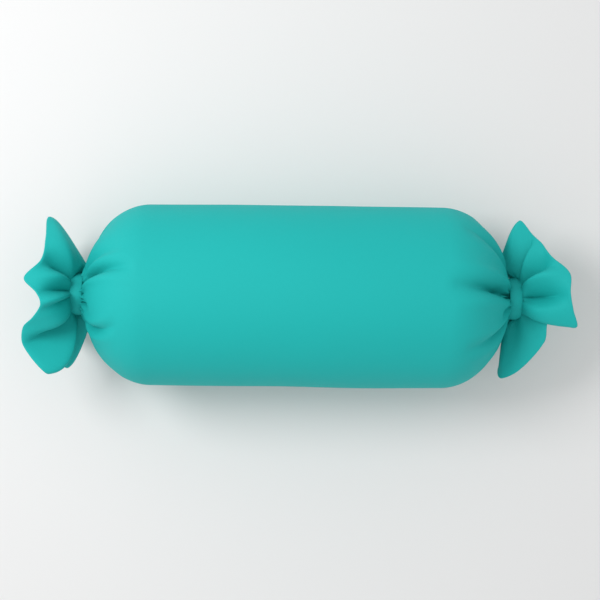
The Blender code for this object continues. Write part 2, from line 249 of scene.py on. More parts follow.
# braided cord: two sets of strands that cross as they run round the ring
def makeBraid(look):
    material, shader, start = newMaterial("whiteBraid", Specular_IOR_Level=look["specular"])
    place = ownPlace(start)
    up = place.part(2) - float(axisHeight)
    aroundNeck = up.maths("ARCTAN2", place.part(1), up)
    along = place.part(0) * look["lean"]
    one = (aroundNeck * look["strands"] + along).wave()
    two = (aroundNeck * look["strands"] - along).wave()
    crossing = (one * two) * 0.5 + 0.5
    links = {
        "Base Color": toned(crossing, look),
        "Roughness": 0.85 - 0.15 * crossing,
        "Normal": bumped(crossing, 0.6, 0.0003),
    }
    connect(shader, links)
    return material


# woven zip tape: a herringbone whose slant turns about from column to column
def makeTape(look):
    material, shader, start = newMaterial("zipTape", Specular_IOR_Level=look["specular"])
    place = ownPlace(start)
    stripe = place.dot(downhill) / look["columnWidth"]
    column = stripe.maths("PINGPONG", stripe, 1.0)
    slant = (place.part(0) / look["pitch"] + column * look["slant"]) * (2 * pi)
    twill = slant.wave() * 0.5 + 0.5
    fuzz = place.noise(2400.0, 2.0)
    links = {
        "Base Color": toned((twill * 0.75 + fuzz * 0.25).limit(), look),
        "Roughness": 0.86 - 0.12 * twill,
        "Normal": bumped(twill + fuzz * 0.4, 0.55, 0.00025),
    }
    connect(shader, links)
    return material


# drawn nylon: satin, slightly uneven along its length
def makeNylon(look):
    material, shader, start = newMaterial("zipNylon", Specular_IOR_Level=look["specular"])
    place = ownPlace(start)
    drawn = place.noise(1500.0, 3.0)
    links = {
        "Base Color": toned(place.noise(120.0, 2.0), look),
        "Roughness": 0.30 + 0.18 * drawn,
        "Normal": bumped(drawn, 0.12, 0.0001),
    }
    connect(shader, links)
    return material


# plated metal: brushed along the zip, worn brighter and scratched here and there
def makePlate(look):
    material, shader, start = newMaterial("zipNickel", Metallic=1.0)
    place = ownPlace(start)
    brushed = scaled(place, look["brushStretch"]).noise(1.0, 4.0)
    marks = place.noise(700.0, 5.0, 0.7)
    scratch = marks.make("ShaderNodeValToRGB", {"stops": look["scratches"]}, {"Fac": marks})
    links = {
        "Base Color": toned((brushed * 0.6 + scratch * 0.4).limit(), look),
        "Roughness": 0.22 + 0.16 * brushed + 0.08 * scratch,
        "Normal": bumped(brushed * 0.7 + scratch * 0.3, 0.10, 0.0001),
    }
    connect(shader, links)
    return material


# satin-woven label: long shiny floats across it
def makeSatin(look):
    material, shader, start = newMaterial("labelSatin", Specular_IOR_Level=look["specular"])
    flat = start.make("ShaderNodeUVMap", {"uv_map": "cloth"})
    across, along = flat.part(0), flat.part(1)
    weft = (along * (2 * pi / look["pitch"])).wave()
    ties = (across * (0.4 * pi / look["pitch"]) + along * (0.8 * pi / look["pitch"])).wave()
    sheen = weft * 0.35 + ties * 0.15 + 0.5
    links = {
        "Base Color": toned(sheen, look),
        "Roughness": 0.42 - 0.10 * ties,
        "Normal": bumped(sheen, 0.25, 0.00015),
    }
    connect(shader, links)
    return material


fibreLook = {"colour": (0.93, 0.93, 0.92), "deep": 0.80, "light": 1.05, "specular": 0.25}
braidLook = {
    "colour": (0.82, 0.82, 0.80),
    "deep": 0.72,
    "light": 1.0,
    "specular": 0.3,
    "strands": 60.0,
    "lean": 2200.0,
}
tapeLook = {
    "colour": (0.012, 0.40, 0.38),
    "deep": 0.70,
    "light": 1.08,
    "specular": 0.3,
    "columnWidth": 0.0016,
    "pitch": 0.0009,
    "slant": 1.6,
}
nylonLook = {"colour": (0.014, 0.43, 0.41), "deep": 0.90, "light": 1.10, "specular": 0.55}
nickelLook = {
    "colour": (0.72, 0.72, 0.70),
    "deep": 0.86,
    "light": 1.08,
    "brushStretch": (300.0, 4200.0, 4200.0),
    "scratches": [(0.56, (0, 0, 0, 1)), (0.62, (1, 1, 1, 1)), (0.66, (0, 0, 0, 1))],
}
satinLook = {"colour": (0.90, 0.90, 0.88), "deep": 0.88, "light": 1.04, "specular": 0.5, "pitch": 0.00035}

cloth = makeCloth("tealCloth", tealCloth)
ticking = makeCloth("whiteTicking", whiteTicking)
fibre = makeFibre(fibreLook)
braid = makeBraid(braidLook)
tape = makeTape(tapeLook)
nylon = makeNylon(nylonLook)
nickel = makePlate(nickelLook)
thread = makeNylon(nylonLook)
satin = makeSatin(satinLook)
print("materials made")


def ringPoint(x, angle, radius):  # angle from straight up towards +Y, radius from the pillow's axis
    return np.array((x, radius * sin(angle), axisHeight + radius * cos(angle)))


# a mesh from rows of points; closed joins the last column to the first; skip leaves faces out
def gridPiece(name, points, flat, closed=True, skip=None, body="root", material=None):
    rows, columns = points.shape[:2]
    faces, corners = [], []
    for row in range(rows - 1):
        for column in range(columns if closed else columns - 1):
            if skip and skip(row, column):
                continue
            nextColumn = (column + 1) % columns
            a, b = row * columns + column, row * columns + nextColumn
            faces.append((a, b, b + columns, a + columns))
            corners += [(row, column), (row, column + 1), (row + 1, column + 1), (row + 1, column)]
    mesh = bpy.data.meshes.new(name)
    mesh.from_pydata(points.reshape(-1, 3).tolist(), [], faces)
    layer = mesh.uv_layers.new(name="cloth")
    layer.data.foreach_set("uv", np.array([flat[row, column] for row, column in corners], float).ravel())
    return addPiece(name, mesh, body, material)


def addPiece(name, mesh, body, material):
    piece = bpy.data.objects.new(name, mesh)
    scene.collection.objects.link(piece)
    if material:
        mesh.materials.append(material)
    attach(piece, body)
    return piece


def faceOut(mesh):
    away = 0.0
    for face in mesh.polygons:
        away += face.area * face.normal.dot((0, face.center.y, face.center.z - axisHeight))
    if away < 0:
        mesh.flip_normals()


def soften(piece):
    smooth = piece.modifiers.new("soften", "SUBSURF")
    smooth.levels = smooth.render_levels = 1
    smooth.boundary_smooth = "PRESERVE_CORNERS"


def thicken(piece, thickness, offset=0.0):
    wall = piece.modifiers.new("wall", "SOLIDIFY")
    wall.thickness = thickness
    wall.offset = offset
    wall.use_even_offset = False


def smoothStep(value, low, high):
    share = np.clip((value - low) / (high - low), 0, 1)
    return share * share * (3 - 2 * share)


def ripple(seed, *place):
    return noise.noise(Vector(place) + Vector((seed * 1.7, 0, 0)))


body = {
    "columns": 288,
    "domeLength": 0.056,
    "straightStep": 0.006,
    "domeRings": 34,
    "slotHalfWidth": 0.0045,
    "slotHalfLength": 0.114,
    "slotShares": (-0.55, -0.25, -0.1, 0, 0.1, 0.25, 0.55),
    "thickness": 0.0009,
    "waviness": 0.0005,
    "gatherRadius": 0.0185,  # the rounded ends stop here, and three short runs of (x, radius) lead on
    "gather": [(0.0007, 0.0175), (0.0012, 0.0168), (0.0026, 0.0150)],
    "neck": [(0.003, 0.0122), (0.006, 0.0118)],
    "tuck": [(-0.0018, 0.0118), (-0.0009, 0.0105), (-0.0006, 0.0075), (-0.0009, 0.0045), (-0.0016, 0.0022)],
    "puckers": 31,
    "puckerDepth": 0.0034,
    "seamDepth": 0.0009,
    "restsAt": 0.0004,
    "softness": 0.0022,
    "weight": 0.001,
    "stiffness": 1.0,
    "bending": 0.02,
    "damping": 0.2,
    "pressure": 12.0,
    "frames": 20,
    "mostMove": 0.0014,
    "everyRow": 3,
    "everyColumn": 5,
    "coarsePasses": 3,
    "finePasses": 14,
    "heldNearZip": 0.026,
}

# creases in the rounded ends: angle at the neck, angle where it fades, length along the cloth, depth, half
# width; angles in degrees from straight up
leftCreases = [
    (27, 17, 0.080, 0.0125, 0.0040),
    (44, 30, 0.070, 0.0050, 0.0060),
    (-20, -17, 0.024, 0.0040, 0.0030),
    (-62, -19, 0.066, 0.0080, 0.0038),
    (90, 66, 0.060, 0.0045, 0.0060),
    (-104, -84, 0.060, 0.0055, 0.0055),
    (124, 112, 0.070, 0.0075, 0.0055),
    (152, 158, 0.056, 0.0060, 0.0055),
    (-134, -120, 0.068, 0.0075, 0.0055),
    (-164, -154, 0.056, 0.0060, 0.0055),
]
rightCreases = [
    (9, 9, 0.086, 0.0145, 0.0056),
    (55, 52, 0.074, 0.0065, 0.0050),
    (-44, -34, 0.072, 0.0080, 0.0042),
    (-14, -22, 0.026, 0.0036, 0.0030),
    (84, 78, 0.060, 0.0045, 0.0060),
    (-84, -78, 0.060, 0.0050, 0.0055),
    (120, 128, 0.068, 0.0075, 0.0055),
    (156, 150, 0.056, 0.0060, 0.0055),
    (-124, -134, 0.068, 0.0075, 0.0055),
    (-160, -168, 0.056, 0.0060, 0.0055),
]


def creaseDepth(arc, angle, radius, creases):
    depth = 0.0
    for atNeck, atEnd, length, deep, width in creases:
        share = arc / length
        if share > 1:
            continue
        middle = radians(atNeck + (atEnd - atNeck) * share**0.8)
        off = (angle - middle + pi) % (2 * pi) - pi
        across = abs(off) * radius / (width * (0.55 + 0.75 * share))
        fade = (1 - share * share) * min(1.0, 0.35 + share / 0.2)
        beside = 0.22 * np.exp(-((across - 2.3) ** 2))
        depth += deep * fade * (1 / (1 + across * across) ** 1.5 - beside)
    return depth


straightHalf = bandInner - body["domeLength"]  # the rounded ends start here


# half an outline from the middle of the pillow out to one end: (x, radius) pairs
def halfOutline(look, radius, length, smallest, rings):
    steps = int(round(straightHalf / look["straightStep"]))
    outline = [(straightHalf * i / steps, radius) for i in range(steps + 1)]
    last = np.arccos(smallest / radius)
    for i in range(1, rings + 1):
        turn = last * (i / rings) ** 0.92
        outline.append((straightHalf + length * sin(turn), radius * cos(turn)))
    return outline


def wholeOutline(half):
    return [(-x, radius) for x, radius in reversed(half[1:])] + half


def coverOutline(look):
    half = halfOutline(look, bodyRadius, look["domeLength"], look["gatherRadius"], look["domeRings"])
    runs = ((half[-1][0], "gather"), (bandInner, "neck"), (bandOuter, "tuck"))
    for start, run in runs:
        half += [(start + x, radius) for x, radius in look[run]]
    return wholeOutline(half)


# length along the cloth from the neck, for a radius on the rounded end
domeHalf = halfOutline(body, bodyRadius, body["domeLength"], body["gatherRadius"], 60)
domeX, domeRadii = zip(*[place for place in reversed(domeHalf) if place[0] > straightHalf - 1e-6])
domeArcs = np.concatenate([[0], np.cumsum(np.hypot(np.diff(domeX), np.diff(domeRadii)))])


def arcAt(radius):
    return float(np.interp(radius, domeRadii, domeArcs)) if radius < bodyRadius * 0.9999 else 1.0


def coverLift(x, radius, turn, look):
    lift = 0.0
    arc = arcAt(radius)
    if arc < 0.1 and radius > 0.0135:
        lift -= creaseDepth(arc, turn, radius, leftCreases if x < 0 else rightCreases)
    nearNeck = float(1 - smoothStep(radius, 0.0180, 0.027))
    if nearNeck > 0:
        fold = look["puckers"] * turn + 2.2 * ripple(3, cos(turn) * 3, sin(turn) * 3, x * 4)
        depth = look["puckerDepth"] * (0.7 + 0.9 * ripple(5, cos(turn) * 4, sin(turn) * 4, x))
        lift += depth * nearNeck * min(1.0, radius / 0.012) * (abs(sin(fold / 2)) * 2 - 1.3)
    if radius > 0.03:
        lift += look["waviness"] * ripple(1, x * 14, cos(turn) * 1.4, sin(turn) * 1.4)
    off = abs((turn - zipAngle + pi) % (2 * pi) - pi) * radius
    if off < 0.004 and abs(x) > look["slotHalfLength"] and radius > 0.02:
        lift -= look["seamDepth"] * np.exp(-((off / 0.0009) ** 2))
    return lift


# points of a skin over an outline; lift(x, radius, turn) moves each one along the skin's own normal
def skinPoints(outline, turns, lift):
    points = np.zeros((len(outline), len(turns), 3))
    for row, (x, radius) in enumerate(outline):
        ahead, behind = outline[min(row + 1, len(outline) - 1)], outline[max(row - 1, 0)]
        slope = np.array((behind[1] - ahead[1], ahead[0] - behind[0]))
        slope /= max(np.linalg.norm(slope), 1e-9)
        for column, turn in enumerate(turns):
            reach = lift(x, radius, turn)
            points[row, column] = ringPoint(x + reach * slope[0], turn, radius + reach * slope[1])
    return points


def skinFlat(outline, turns):
    steps = np.hypot(*np.diff(np.array(outline), axis=0).T)
    travel = np.concatenate([[0], np.cumsum(steps)])
    flat = np.zeros((len(outline), len(turns) + 1, 2))
    flat[:, :-1, 0] = np.array(turns) * bodyRadius
    flat[:, -1, 0] = (turns[0] + 2 * pi) * bodyRadius
    flat[:, :, 1] = travel[:, None]
    return flat


# how freely the cloth moves: the necks, the zip and the patch that it rests on are held
def freedom(points, look):
    turn = np.arctan2(points[:, :, 1], points[:, :, 2] - axisHeight)
    radius = np.hypot(points[:, :, 1], points[:, :, 2] - axisHeight)
    off = np.abs((turn - zipAngle + pi) % (2 * pi) - pi) * radius
    free = smoothStep(radius, 0.020, 0.040) * smoothStep(points[:, :, 2], 0.002, 0.012)
    return free * smoothStep(off, look["heldNearZip"], look["heldNearZip"] + 0.02)


def smoothed(field, passes):  # the columns run on round the pillow, the rows end
    for i in range(passes):
        field = (np.roll(field, 1, axis=1) + 2 * field + np.roll(field, -1, axis=1)) / 4
        longer = np.concatenate([field[:1], field, field[-1:]])
        field = (longer[:-2] + 2 * field + longer[2:]) / 4
    return field


# a coarse copy of the cloth, blown up from inside by simulation; gives how far each of its points moves
def blownUp(coarse, free, look):
    copy = gridPiece("coarse_cloth", coarse, np.zeros((coarse.shape[0], coarse.shape[1] + 1, 2)))
    faceOut(copy.data)
    held = copy.vertex_groups.new(name="held")
    for index, share in enumerate(free.ravel()):
        if share < 0.98:
            held.add([index], 1 - float(share), "REPLACE")
    sim = copy.modifiers.new("pull", "CLOTH")
    settings = sim.settings
    settings.vertex_group_mass = "held"
    settings.mass = look["weight"]
    settings.tension_stiffness = settings.compression_stiffness = look["stiffness"]
    settings.shear_stiffness = look["stiffness"]
    settings.bending_stiffness = look["bending"]
    settings.tension_damping = settings.compression_damping = settings.shear_damping = look["damping"]
    settings.air_damping = look["damping"] / 2
    settings.use_pressure = True
    settings.uniform_pressure_force = look["pressure"]
    settings.effector_weights.gravity = 0
    sim.point_cache.frame_start, sim.point_cache.frame_end = 1, look["frames"]
    for frameNumber in range(1, look["frames"] + 1):
        scene.frame_set(frameNumber)
    blown = copy.evaluated_get(bpy.context.evaluated_depsgraph_get())
    places = np.zeros(coarse.size)
    blown.to_mesh().vertices.foreach_get("co", places)
    blown.to_mesh_clear()
    scene.frame_set(1)
    bpy.data.objects.remove(copy)
    return places.reshape(coarse.shape) - coarse


# the cloth pulls itself taut between its creases: it follows the coarse copy, by mostMove at the most
def tauten(points, look):
    rowCount, columnCount = points.shape[:2]
    rows = np.unique(np.append(np.arange(0, rowCount, look["everyRow"]), rowCount - 1))
    columns = np.arange(0, columnCount, look["everyColumn"])
    free = freedom(points, look)
    move = blownUp(points[np.ix_(rows, columns)], free[np.ix_(rows, columns)], look)
    reach = np.linalg.norm(move, axis=2, keepdims=True)
    print("cloth blown up: mean move", round(float(reach.mean()), 5), "most", round(float(reach.max()), 5))
    move *= np.minimum(1, look["mostMove"] / np.maximum(reach, 1e-9))
    move = smoothed(move, look["coarsePasses"])
    move = np.concatenate([move, move[:, :1]], axis=1)  # the first column again, one turn on
    columns = np.append(columns, columnCount)
    fine = np.zeros(points.shape)
    for axis in range(3):
        wide = np.array([np.interp(np.arange(columnCount), columns, line) for line in move[:, :, axis]])
        fine[:, :, axis] = np.array([np.interp(np.arange(rowCount), rows, line) for line in wide.T]).T
    return points + smoothed(fine, look["finePasses"]) * free[:, :, None]


def makeBody(look):
    outline = coverOutline(look)
    gap = look["slotHalfWidth"] / bodyRadius
    lastColumn = look["columns"] - 1
    turns = [zipAngle + gap + (2 * pi - 2 * gap) * i / lastColumn for i in range(look["columns"])]
    turns += [zipAngle + 2 * pi + gap * share for share in look["slotShares"]]

    def lift(x, radius, turn):
        return coverLift(x, radius, turn, look)

    def inSlot(row, column):  # the opening that the zip closes
        ends = max(abs(outline[row][0]), abs(outline[row + 1][0]))
        return column >= lastColumn and ends < look["slotHalfLength"]

    points = skinPoints(outline, turns, lift)
    pressDown(points, look["restsAt"], look["softness"])
    points = tauten(points, look)
    cover = gridPiece("cover", points, skinFlat(outline, turns), skip=inSlot, material=cloth)
    faceOut(cover.data)
    cover.data.shade_smooth()
    thicken(cover, look["thickness"], -1.0)
    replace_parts(cover, "cover_body")
    return cover


# the patch that the pillow rests on, with a soft edge round it
def pressDown(points, lowest, softness):
    height = points[:, :, 2]
    above = np.minimum((height - lowest) / softness, 20)
    height[:] = np.where(above < 10, lowest + softness * np.log1p(np.exp(above)), height)


cover = makeBody(body)
print("cover body made")


insert = {
    "columns": 144,
    "radius": 0.0728,
    "domeLength": 0.0455,
    "domeRings": 22,
    "centreRadius": 0.0004,
    "seamDepth": 0.0009,
    "seamHalfWidth": 0.0016,
    "waviness": 0.0004,
    "thickness": 0.0005,
    "restsAt": 0.0021,
    "softness": 0.0015,
    "behindZip": 0.0721,
    "stuffingInset": 0.0032,
    "lumps": 0.0016,
    "tufts": 0.0007,
}


def inwardCreases(x, radius, turn, scale):  # what is inside gives way under the cover's creases
    arc = arcAt(max(radius, body["gatherRadius"] + 0.0001))
    inner = float(smoothStep(radius, 0.006, 0.03))
    creases = leftCreases if x < 0 else rightCreases
    return -scale * inner * max(0.0, creaseDepth(arc, turn, max(radius, 0.02), creases))


def behindZip(points, most):  # held back where the zip lies on it
    extra = np.maximum((points - (0, 0, axisHeight)) @ outward - most, 0)
    points -= extra[:, :, None] * outward


def makeInside(name, node, outline, lift, inset, material):
    turns = [2 * pi * i / insert["columns"] for i in range(insert["columns"])]
    points = skinPoints(outline, turns, lift)
    behindZip(points, insert["behindZip"] - inset)
    pressDown(points, insert["restsAt"] + inset * 0.625, insert["softness"])
    piece = gridPiece(name, points, skinFlat(outline, turns), material=material)
    faceOut(piece.data)
    piece.data.shade_smooth()
    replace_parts(piece, node)
    return piece


# the insert: a ticking tube, with a round panel sewn into a small groove at each end
def makeInsert(look):
    half = halfOutline(body, look["radius"], look["domeLength"], look["centreRadius"], look["domeRings"])
    split = next(i for i, (x, radius) in enumerate(half) if x > straightHalf - 1e-6)

    def lift(x, radius, turn):
        seam = look["seamDepth"] * np.exp(-(((abs(x) - straightHalf) / look["seamHalfWidth"]) ** 2))
        wave = look["waviness"] * ripple(21, x * 18, cos(turn) * 2, sin(turn) * 2)
        return inwardCreases(x, radius, turn, 1.15) - seam + wave

    tube = half[:split] + [(straightHalf - back, look["radius"]) for back in (0.004, 0.0022, 0.001, 0.0)]
    panel = [(straightHalf + on, look["radius"]) for on in (0.0, 0.0008, 0.002)] + half[split + 1 :]
    pieces = {
        "insert_ticking_tube": ("insert_tube", wholeOutline(tube)),
        "left_insert_panel": ("left_insert_end", [(-x, radius) for x, radius in reversed(panel)]),
        "right_insert_panel": ("right_insert_end", panel),
    }
    for name, (node, outline) in pieces.items():
        piece = makeInside(name, node, outline, lift, 0, ticking)
        thicken(piece, look["thickness"], -1.0)


# the stuffing: a lumpy, tufted core just inside the ticking
def makeStuffing(look):
    inset = look["stuffingInset"]
    radius, length = look["radius"] - inset, look["domeLength"] - inset
    outline = wholeOutline(halfOutline(body, radius, length, look["centreRadius"], look["domeRings"]))

    def lift(x, radius, turn):
        lump = look["lumps"] * (ripple(31, x * 40, cos(turn) * 3.2, sin(turn) * 3.2) - 0.4)
        tuft = look["tufts"] * (ripple(33, x * 140, cos(turn) * 10, sin(turn) * 10) - 0.3)
        return inwardCreases(x, radius, turn, 1.2) + lump + tuft

    makeInside("stuffing", "fibre_fill", outline, lift, inset, fibre)


makeInsert(insert)
makeStuffing(insert)
print("insert and stuffing made")


# each line of a frill: angle at the band, angle at the hem, reach, radius, bulge (+ ridge, - valley), how
# far it leans back over the band, and how strongly it arches (0 straight, 1 full); lengths in mm
leftFrill = {
    "side": -1,
    "lines": [
        (-168, -166, 10, 62, -5, 0, 1),
        (-148, -150, 20, 59, 6, 2, 1),
        (-124, -128, 2, 60, -4, 12, 1),
        (-104, -104, 6, 65, 2, 17, 1),
        (-94, -97, 14, 60, -7, 10, 1),
        (-80, -72, 18, 69.5, 8, 2, 1),
        (-64, -58, 36, 51.5, -9, 0, 0.8),
        (-43, -38, 35, 46, 8, 0, 1),
        (-24, -24, 26, 50, 3, 0, 1),
        (-10, -13, 19, 52, -3, 0, 1),
        (-2, -7, 18, 53, 4, 0, 1),
        (7, 1, 22, 49, -7, 0, 1),
        (28, 16, 33, 46, 7, 0, 1),
        (42, 36, 20, 48, -9, 0, 1),
        (50, 62, 19, 53, 8, 0, 0.9),
        (72, 85, 21, 64, 0, 12, 1),
        (96, 98, 17, 63, -3, 19, 0.9),
        (118, 120, 14, 60, -4, 8, 1),
        (138, 138, 22, 58, 5, 2, 1),
        (156, 154, 4, 62, -5, 0, 1),
        (174, 172, 22, 60, 6, 0, 1),
    ],
}
rightFrill = {
    "side": 1,
    "lines": [
        (-170, -168, 6, 61, -5, 0, 1),
        (-148, -150, 14, 58, 6, 2, 1),
        (-124, -126, -6, 61, -4, 8, 1),
        (-106, -106, -15, 64, 2, 9, 0.6),
        (-90, -94, -14, 68, 4, 7, 0.6),
        (-80, -83, 0, 60, 4, 2, 0.6),
        (-67, -66, 19, 39, 3, 0, 0.5),
        (-55, -42, 22, 27, -5, 0, 0.3),
        (-42, -34, 42, 41, 5, 0, 0.2),
        (-18, -12, 38, 43, 4, 0, 0.5),
        (5, 6, 35, 45, -12, 0, 0.5),
        (30, 28, 35, 46, 7, 0, 0.7),
        (45, 50, 21, 47, -9, 0, 0.4),
        (56, 66, 15, 51, 4, 0, 0.7),
        (65, 77, 8, 56, -5, 3, 0.8),
        (76, 86, 0, 66, 8, 8, 1),
        (92, 97, -3, 60, 3, 22, 1),
        (114, 118, 6, 61, -4, 8, 1),
        (134, 136, 16, 58, 5, 2, 1),
        (154, 152, 0, 62, -5, 0, 1),
        (173, 172, 18, 59, 6, 0, 1),
    ],
}
frillLook = {
    "columns": 336,
    "rows": 34,
    "neckRadius": 0.0142,
    "pleats": 44,
    "pleatDepth": 0.0009,
    "pleatShare": 0.30,
    "slack": 0.004,  # more cloth between two lines than the straight way across
    "underBand": [(-0.0085, 0.93), (-0.005, 0.92), (-0.0015, 0.93)],
    "thickness": 0.0015,
}


def frillLine(line, share, look, side):
    atBand, atHem, reach, radius, bulge, lean, arch = line
    reach, radius, bulge, lean = reach / 1000, radius / 1000, bulge / 1000, lean / 1000
    start = look["neckRadius"]
    run = np.hypot(reach, radius - start)
    normal = (-(radius - start) / run, reach / run)
    lift = 4 * share * (1 - share) ** 1.35 * bulge
    angle = radians(atBand + (atHem - atBand) * min(1.0, share * 1.1))
    lean *= float(smoothStep(share, 0.0, 0.13)) * (1 - share) ** 2
    x = reach * share ** (1 + 0.5 * arch if reach > 0 else 0.7) + normal[0] * lift - lean
    r = start + (radius - start) * share * (1 + 0.9 * arch * (1 - share)) + normal[1] * lift
    return np.array((side * (bandOuter + x), r * sin(angle), axisHeight + r * cos(angle)))


# where the cloth is at a length along the hem: a smooth curve through the lines on either side of it
def betweenLines(frill, places, steps, k, u, share):
    lines, count = frill["lines"], len(places)
    before, a, b, after = (places[(k + i) % count] for i in (-1, 0, 1, 2))
    slopes = []
    for p, q, whole, index in (
        (before, b, steps[k - 1] + steps[k], k),
        (a, after, steps[k] + steps[(k + 1) % count], (k + 1) % count),
    ):
        isValley = lines[index][4] < 0  # a valley turns sharply near the band
        ease = 0.85 * (1 - share) ** 1.2 if isValley else 0.0
        slopes.append((1.0 - ease) * (q - p) / whole * steps[k])
    start = (2 * u**3 - 3 * u**2 + 1) * a + (u**3 - 2 * u**2 + u) * slopes[0]
    return start + (3 * u**2 - 2 * u**3) * b + (u**3 - u**2) * slopes[1]


def awayFromAxis(point):
    return np.array((0, point[1], point[2] - axisHeight)) / np.hypot(point[1], point[2] - axisHeight)


# the valley lines are pinched in, deepest near the band
def pinched(frill, point, starts, total, at, share):
    for start, line in zip(starts, frill["lines"]):
        reach, bulge = line[2], line[4]
        if bulge < 0:
            away = (at - start + total / 2) % total - total / 2
            across = away * (0.25 + 0.75 * share) / (0.0016 + 0.006 * share)
            deep = (0.0016 - bulge * 0.0004) * min(1.0, share / 0.08) * (1 - share) ** 1.1
            along = np.array((reach * frill["side"] / 75, 0, 0))
            point = point - (awayFromAxis(point) * 0.75 - along) * deep / (1 + across * across) ** 1.5
    return point


def pleated(point, turn, share, look):
    fold = look["pleats"] * turn / 2 + 1.5 * ripple(9, cos(turn) * 4, sin(turn) * 4, share)
    nearBand = float(1 - smoothStep(share, 0.0, look["pleatShare"]))
    return point + awayFromAxis(point) * look["pleatDepth"] * nearBand * (abs(sin(fold)) * 2 - 1.2)


def makeFrill(node, frill, look):
    side, lines, columns = frill["side"], frill["lines"], look["columns"]
    shares = [(i / (look["rows"] - 1)) ** 1.25 for i in range(look["rows"])]
    hem = np.array([frillLine(line, 1.0, look, side) for line in lines])
    steps = np.linalg.norm(np.roll(hem, -1, axis=0) - hem, axis=1) + look["slack"]
    total = float(steps.sum())
    starts = np.cumsum(steps) - steps
    underBand = len(look["underBand"])
    points = np.zeros((underBand + len(shares), columns, 3))
    for row, share in enumerate(shares, start=underBand):
        places = np.array([frillLine(line, share, look, side) for line in lines])
        for column in range(columns):
            at = column / columns * total
            k = int(np.searchsorted(starts, at, side="right")) - 1
            point = betweenLines(frill, places, steps, k, (at - starts[k]) / steps[k], share)
            point = pinched(frill, point, starts, total, at, share)
            points[row, column] = pleated(point, 2 * pi * column / columns, share, look)
    for row, (x, pull) in enumerate(look["underBand"]):
        points[row] = (points[underBand] - (0, 0, axisHeight)) * pull + (0, 0, axisHeight)
        points[row, :, 0] = side * (bandOuter + x)
    lengths = np.linalg.norm(np.diff(points, axis=0), axis=2).mean(axis=1)
    travel = np.concatenate([[0], np.cumsum(lengths)])
    flat = np.zeros((len(points), columns + 1, 2))
    flat[:, :, 0] = np.linspace(0, total, columns + 1)
    flat[:, :, 1] = travel[:, None]
    piece = gridPiece(f"{node}_cloth", points, flat, material=cloth)
    faceOut(piece.data)
    piece.data.shade_smooth()
    thicken(piece, look["thickness"])
    soften(piece)
    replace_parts(piece, node)


makeFrill("left_frill", leftFrill, frillLook)
makeFrill("right_frill", rightFrill, frillLook)
print("frills made")


bandLook = {
    "columns": 160,
    "crownRows": 10,
    "crown": 0.0010,
    "thickness": 0.0011,
    "roll": 0.0004,
    "sway": 0.0004,
    "pinch": 0.00008,
}


def rounded(mesh, weld=0.0):  # joins points that meet, turns every face outwards, shades it smooth
    shape = bmesh.new()
    shape.from_mesh(mesh)
    if weld:
        bmesh.ops.remove_doubles(shape, verts=shape.verts, dist=weld)
    bmesh.ops.recalc_face_normals(shape, faces=shape.faces)
    shape.to_mesh(mesh)
    shape.free()
    mesh.shade_smooth()


# a neck band: a folded strip, crowned outside and flat inside, that sways a little on its way round
def makeBand(name, side, look):
    width, depth, roll, columns = bandOuter - bandInner, look["thickness"], look["roll"], look["columns"]
    crown = [i / look["crownRows"] for i in range(look["crownRows"] + 1)]
    outline = [(width * share, look["crown"] * sin(pi * share)) for share in crown]
    outline += [(width + roll, -depth / 2), (width, -depth), (width / 2, -depth)]
    outline += [(0.0, -depth), (-roll, -depth / 2), outline[0]]
    travel = np.concatenate([[0], np.cumsum(np.hypot(*np.diff(np.array(outline), axis=0).T))])
    points = np.zeros((len(outline), columns, 3))
    for row, (x, lift) in enumerate(outline):
        for column in range(columns):
            turn = 2 * pi * column / columns
            sway = look["sway"] * ripple(12, cos(turn) * 2, sin(turn) * 2, 0.3)
            pinch = look["pinch"] * ripple(15, cos(turn) * 4, sin(turn) * 4, x * 120)
            radius = bandRadius - roll + lift + pinch
            points[row, column] = ringPoint(side * (bandInner + x + sway), turn, radius)
    flat = np.zeros((len(outline), columns + 1, 2))
    flat[:, :, 0] = np.linspace(0, 2 * pi * bandRadius, columns + 1)
    flat[:, :, 1] = travel[:, None]
    piece = gridPiece(name, points, flat, material=cloth)
    rounded(piece.data, weld=0.00001)
    return piece


for name, side in (("left", -1), ("right", 1)):
    band = makeBand(f"{name}_band_cloth", side, bandLook)
    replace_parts(band, f"{name}_neck_band")
print("bands made")


# the zip is laid out in its own frame: along x, across it (downhill is +), out from the pillow's axis
zipLook = {
    "pitch": 0.0016,
    "wire": 0.00030,
    "reachAcross": 0.00150,
    "reachOut": 0.00066,
    "middleAcross": 0.00160,
    "lean": 0.00022,
    "pointsPerTurn": 12,
    "sides": 6,
    "stitchLength": 0.0024,
    "stitchGap": 0.0010,
    "stitchRadius": 0.00022,
    "topStitchAcross": 0.0072,
    "coilStitchAcross": 0.0030,
    "pastSlot": 0.003,
}


def zipPoint(x, across, out):
    return np.array((x, 0, axisHeight)) + across * downhill + out * outward


# a round tube along points; widths gives its radius at each one
def tubeGeometry(points, widths, sides, guide=outward):
    points = np.array(points)
    along = np.gradient(points, axis=0)
    along /= np.linalg.norm(along, axis=1)[:, None]
    verts = []
    for place, way, width in zip(points, along, widths):
        up = guide - way * float(np.dot(guide, way))
        up /= np.linalg.norm(up)
        side = np.cross(way, up)
        for k in range(sides):
            turn = 2 * pi * k / sides
            verts.append(place + width * (cos(turn) * side + sin(turn) * up))
    return verts, stackFaces(len(points), sides)


def meshOf(name, shapes):  # one mesh from many (verts, faces) pairs
    verts, faces = [], []
    for shapeVerts, shapeFaces in shapes:
        start = len(verts)
        verts += [tuple(v) for v in shapeVerts]
        faces += [tuple(i + start for i in face) for face in shapeFaces]
    mesh = bpy.data.meshes.new(name)
    mesh.from_pydata(verts, [], faces)
    rounded(mesh)
    return mesh


